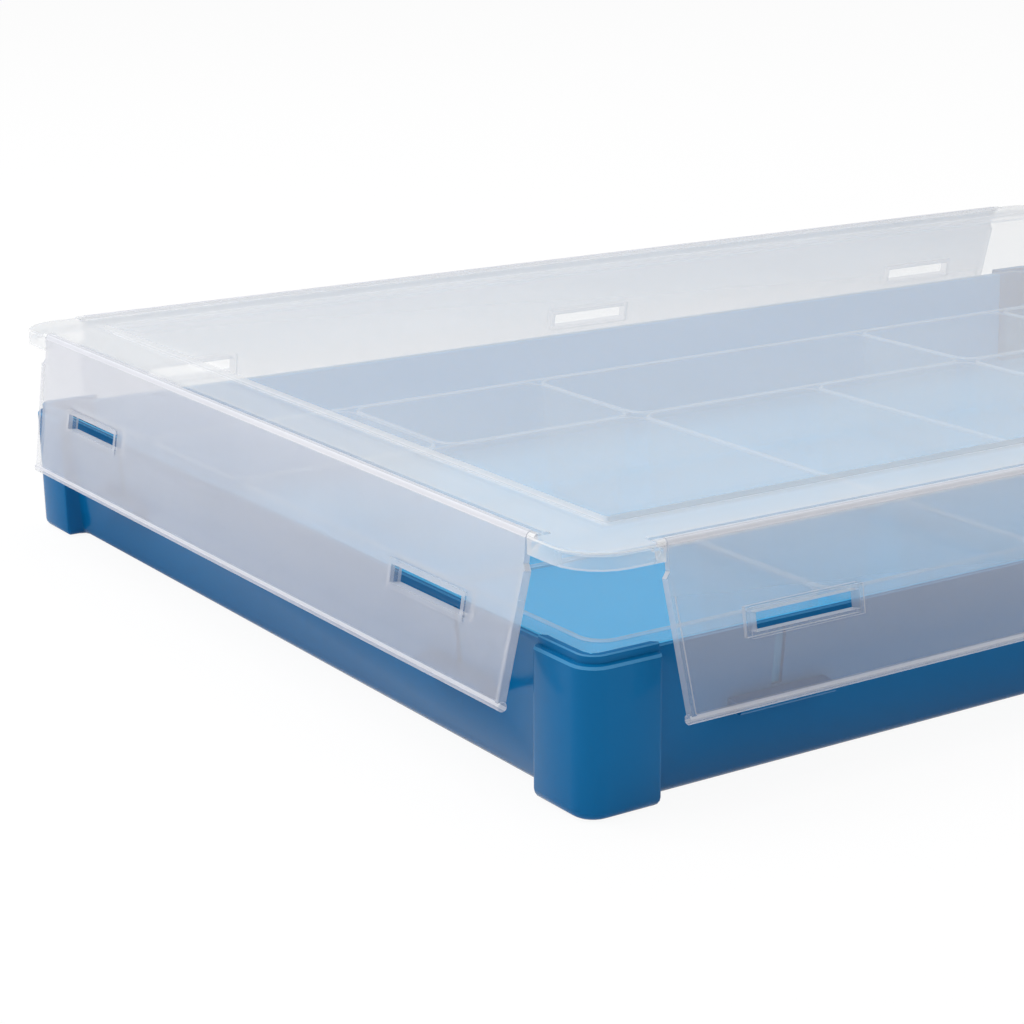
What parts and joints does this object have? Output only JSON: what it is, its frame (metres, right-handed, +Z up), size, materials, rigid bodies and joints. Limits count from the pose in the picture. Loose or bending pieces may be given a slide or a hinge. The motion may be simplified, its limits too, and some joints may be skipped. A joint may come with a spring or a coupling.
{
  "type": "assortment box",
  "caption": "Shallow blue tub with corner posts, loose clear insert bins and a clear lift-off lid that locks with hinged, windowed flaps on its sides.",
  "frame": {"origin": "centre of the tub's footprint, at its underside on the table", "axes": "+X along the long side, +Y along the short side towards the long bin, +Z up"},
  "size_m": [0.4332, 0.3036, 0.0622],
  "materials": {
    "blue_tub": "glossy polypropylene",
    "clear_bin": "clear, slightly milky",
    "clear_lid": "clear, slightly milky",
    "clear_flap": "clear, slightly milky"
  },
  "bodies": {
    "tub": {"tub": "blue_tub"},
    "bin_front_1": {"bin_front_1": "clear_bin"},
    "bin_front_2": {"bin_front_2": "clear_bin"},
    "bin_front_3": {"bin_front_3": "clear_bin"},
    "bin_front_4": {"bin_front_4": "clear_bin"},
    "bin_front_5": {"bin_front_5": "clear_bin"},
    "bin_front_6": {"bin_front_6": "clear_bin"},
    "bin_deep_1": {"bin_deep_1": "clear_bin"},
    "bin_deep_2": {"bin_deep_2": "clear_bin"},
    "bin_deep_3": {"bin_deep_3": "clear_bin"},
    "bin_deep_4": {"bin_deep_4": "clear_bin"},
    "bin_back_1": {"bin_back_1": "clear_bin"},
    "bin_back_2": {"bin_back_2": "clear_bin"},
    "bin_back_3": {"bin_back_3": "clear_bin"},
    "bin_back_4": {"bin_back_4": "clear_bin"},
    "bin_back_5": {"bin_back_5": "clear_bin"},
    "bin_long": {"bin_long": "clear_bin"},
    "lid": {"lid": "clear_lid"},
    "flap_front": {"flap_front": "clear_flap"},
    "flap_back": {"flap_back": "clear_flap"},
    "flap_left": {"flap_left": "clear_flap"},
    "flap_right": {"flap_right": "clear_flap"}
  },
  "joints": [
    {"name": "lid_lift", "type": "slide", "parent": "tub", "child": "lid", "axis": [0, 0, 1], "range_m": [-0.0208, 0.12]},
    {"name": "flap_front_hinge", "type": "hinge", "parent": "lid", "child": "flap_front", "pos_m": [0, -0.1438, 0.0601], "axis": [-1, 0, 0], "range_deg": [-10.5, 95]},
    {"name": "flap_back_hinge", "type": "hinge", "parent": "lid", "child": "flap_back", "pos_m": [0, 0.1438, 0.0601], "axis": [1, 0, 0], "range_deg": [-9, 95]},
    {"name": "flap_left_hinge", "type": "hinge", "parent": "lid", "child": "flap_left", "pos_m": [-0.20905, 0, 0.0601], "axis": [0, 1, 0], "range_deg": [-9, 95]},
    {"name": "flap_right_hinge", "type": "hinge", "parent": "lid", "child": "flap_right", "pos_m": [0.20905, 0, 0.0601], "axis": [0, -1, 0], "range_deg": [-9, 95]},
    {"name": "bin_front_1_lift", "type": "slide", "parent": "tub", "child": "bin_front_1", "axis": [0, 0, 1], "range_m": [0, 0.018]},
    {"name": "bin_front_2_lift", "type": "slide", "parent": "tub", "child": "bin_front_2", "axis": [0, 0, 1], "range_m": [0, 0.018]},
    {"name": "bin_front_3_lift", "type": "slide", "parent": "tub", "child": "bin_front_3", "axis": [0, 0, 1], "range_m": [0, 0.018]},
    {"name": "bin_front_4_lift", "type": "slide", "parent": "tub", "child": "bin_front_4", "axis": [0, 0, 1], "range_m": [0, 0.018]},
    {"name": "bin_front_5_lift", "type": "slide", "parent": "tub", "child": "bin_front_5", "axis": [0, 0, 1], "range_m": [0, 0.018]},
    {"name": "bin_front_6_lift", "type": "slide", "parent": "tub", "child": "bin_front_6", "axis": [0, 0, 1], "range_m": [0, 0.018]},
    {"name": "bin_deep_1_lift", "type": "slide", "parent": "tub", "child": "bin_deep_1", "axis": [0, 0, 1], "range_m": [0, 0.018]},
    {"name": "bin_deep_2_lift", "type": "slide", "parent": "tub", "child": "bin_deep_2", "axis": [0, 0, 1], "range_m": [0, 0.018]},
    {"name": "bin_deep_3_lift", "type": "slide", "parent": "tub", "child": "bin_deep_3", "axis": [0, 0, 1], "range_m": [0, 0.018]},
    {"name": "bin_deep_4_lift", "type": "slide", "parent": "tub", "child": "bin_deep_4", "axis": [0, 0, 1], "range_m": [0, 0.018]},
    {"name": "bin_back_1_lift", "type": "slide", "parent": "tub", "child": "bin_back_1", "axis": [0, 0, 1], "range_m": [0, 0.018]},
    {"name": "bin_back_2_lift", "type": "slide", "parent": "tub", "child": "bin_back_2", "axis": [0, 0, 1], "range_m": [0, 0.018]},
    {"name": "bin_back_3_lift", "type": "slide", "parent": "tub", "child": "bin_back_3", "axis": [0, 0, 1], "range_m": [0, 0.018]},
    {"name": "bin_back_4_lift", "type": "slide", "parent": "tub", "child": "bin_back_4", "axis": [0, 0, 1], "range_m": [0, 0.018]},
    {"name": "bin_back_5_lift", "type": "slide", "parent": "tub", "child": "bin_back_5", "axis": [0, 0, 1], "range_m": [0, 0.018]},
    {"name": "bin_long_lift", "type": "slide", "parent": "tub", "child": "bin_long", "axis": [0, 0, 1], "range_m": [0, 0.018]}
  ]
}
